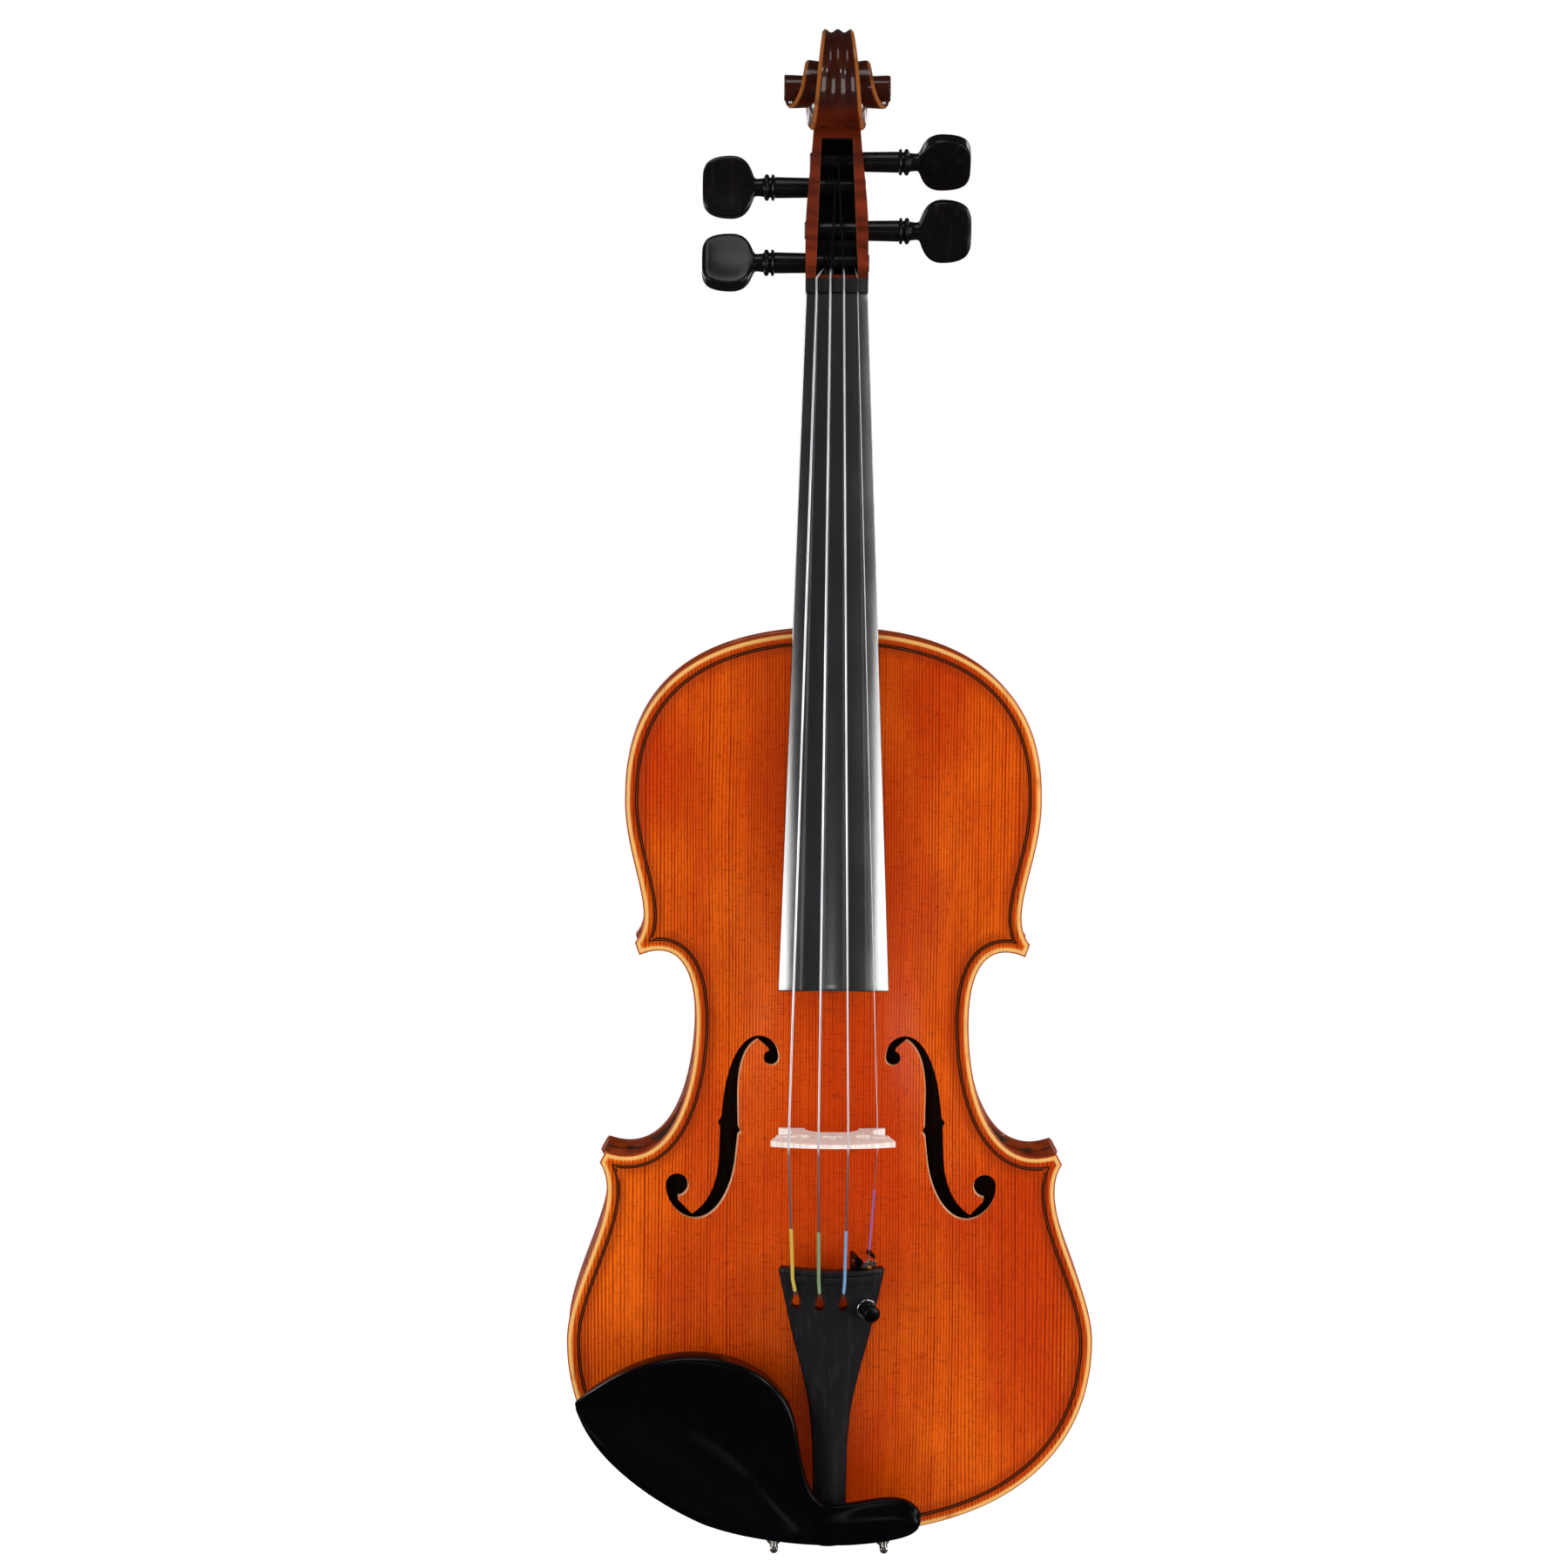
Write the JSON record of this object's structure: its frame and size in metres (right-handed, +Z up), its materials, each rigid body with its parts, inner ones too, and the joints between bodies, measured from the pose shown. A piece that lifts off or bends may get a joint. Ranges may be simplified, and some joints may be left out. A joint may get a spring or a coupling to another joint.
{
  "type": "violin",
  "caption": "Strung violin with arched plates, scrolled pegbox, turning pegs, arched bridge, tailpiece with fine tuner and a clamped chin rest",
  "frame": {"origin": "point under the scroll, in the middle plane, where the two prongs of a wall hanger carry the violin", "axes": "+Z up along the strings to the scroll, -Y out of the belly towards the player's bow, +X to the treble side"},
  "size_m": [0.2082, 0.0956, 0.5996],
  "materials": {
    "spruce_varnished": "orange-red varnish over straight vertical grain, worn gold at the edge",
    "maple_varnished": "glossy red-brown varnish over flamed maple",
    "maple_neck": "red-brown varnish, glossy on scroll and pegbox",
    "purfling": "dark inlay strips",
    "bare_spruce": "unvarnished, planed",
    "bare_maple": "unvarnished pale maple",
    "ebony": "oiled black ebony, satin",
    "ebony_matte": "black, matte",
    "cork": "bare cork sheet",
    "string_metal": "flat-wound, bright",
    "plain_steel": "drawn wire, bright",
    "silk_yellow": "thread wound tight",
    "silk_green": "thread wound tight",
    "silk_blue": "thread wound tight",
    "silk_violet": "thread wound tight",
    "chrome": "polished",
    "black_metal": "black, semi-gloss",
    "brass": "plain turned brass",
    "nickel": "nickel-plated, slightly dulled",
    "nylon": "black nylon line"
  },
  "bodies": {
    "violin": {"top_plate": "spruce_varnished", "back_plate": "maple_varnished", "top_purfling": "purfling", "back_purfling": "purfling", "upper_rib_bass": "maple_varnished", "upper_rib_treble": "maple_varnished", "centre_rib_bass": "maple_varnished", "centre_rib_treble": "maple_varnished", "lower_rib_bass": "maple_varnished", "lower_rib_treble": "maple_varnished", "upper_block": "bare_spruce", "lower_block": "bare_spruce", "corner_blocks": "bare_spruce", "top_linings": "bare_spruce", "back_linings": "bare_spruce", "bass_bar": "bare_spruce", "soundpost": "bare_spruce", "neck_scroll": "maple_neck", "fingerboard": "ebony", "nut": "ebony", "saddle": "ebony", "bridge": "bare_maple", "tailpiece": "ebony", "tailpiece_fret": "ebony", "tailgut": "nylon", "tailgut_nuts": "brass", "end_button": "ebony", "string_g": "string_metal", "string_d": "string_metal", "string_a": "string_metal", "string_e": "plain_steel", "silk_g": "silk_yellow", "silk_d": "silk_green", "silk_a": "silk_blue", "silk_e": "silk_violet", "string_balls": "brass", "tuner_frame": "black_metal", "tuner_lock_nut": "chrome", "tuner_pin": "plain_steel", "chin_rest": "ebony_matte", "chin_rest_cork": "cork", "clamp_hooks": "nickel"},
    "peg_g": {"peg_g": "ebony"},
    "peg_d": {"peg_d": "ebony"},
    "peg_a": {"peg_a": "ebony"},
    "peg_e": {"peg_e": "ebony"},
    "tuner_screw": {"tuner_screw": "black_metal"},
    "tuner_lever": {"tuner_lever": "chrome", "e_ball": "brass"},
    "clamp_barrel_bass": {"clamp_barrel_bass": "nickel"},
    "clamp_barrel_treble": {"clamp_barrel_treble": "nickel"},
    "clamp_foot": {"clamp_foot": "nickel", "clamp_cork": "cork"}
  },
  "joints": [
    {"name": "peg_g_turn", "type": "hinge", "parent": "violin", "child": "peg_g", "pos_m": [0, -0.00939, -0.05772], "axis": [1, 0, 0], "continuous": true},
    {"name": "peg_d_turn", "type": "hinge", "parent": "violin", "child": "peg_d", "pos_m": [0, -0.00056, -0.02781], "axis": [1, 0, 0], "continuous": true},
    {"name": "peg_a_turn", "type": "hinge", "parent": "violin", "child": "peg_a", "pos_m": [0, 0.00313, -0.01725], "axis": [1, 0, 0], "continuous": true},
    {"name": "peg_e_turn", "type": "hinge", "parent": "violin", "child": "peg_e", "pos_m": [0, -0.00545, -0.04477], "axis": [1, 0, 0], "continuous": true},
    {"name": "tuner_screw_turn", "type": "hinge", "parent": "violin", "child": "tuner_screw", "pos_m": [0.013, -0.0501, -0.4609], "axis": [-0.309, 0.9372, 0.1619], "range_deg": [0, 1440]},
    {"name": "tuner_lever_tilt", "type": "hinge", "parent": "violin", "child": "tuner_lever", "pos_m": [0.0122, -0.0508, -0.44235], "axis": [0.9511, 0.3045, 0.0526], "range_deg": [0, 6]},
    {"name": "clamp_barrel_bass_turn", "type": "hinge", "parent": "violin", "child": "clamp_barrel_bass", "pos_m": [-0.0215, -0.0071, -0.55928], "axis": [0, 1, 0], "range_deg": [0, 1080]},
    {"name": "clamp_barrel_treble_turn", "type": "hinge", "parent": "violin", "child": "clamp_barrel_treble", "pos_m": [0.0215, -0.0071, -0.55928], "axis": [0, 1, 0], "range_deg": [0, 1080]},
    {"name": "clamp_foot_slide", "type": "slide", "parent": "violin", "child": "clamp_foot", "axis": [0, 1, 0], "range_m": [0, 0.0042]}
  ],
  "couplings": [
    {"joint": "tuner_screw_turn", "follows": "tuner_lever_tilt", "ratio": 240},
    {"joint": "clamp_barrel_bass_turn", "follows": "clamp_foot_slide", "rad_per_m": 4488},
    {"joint": "clamp_barrel_treble_turn", "follows": "clamp_foot_slide", "rad_per_m": 4488}
  ]
}
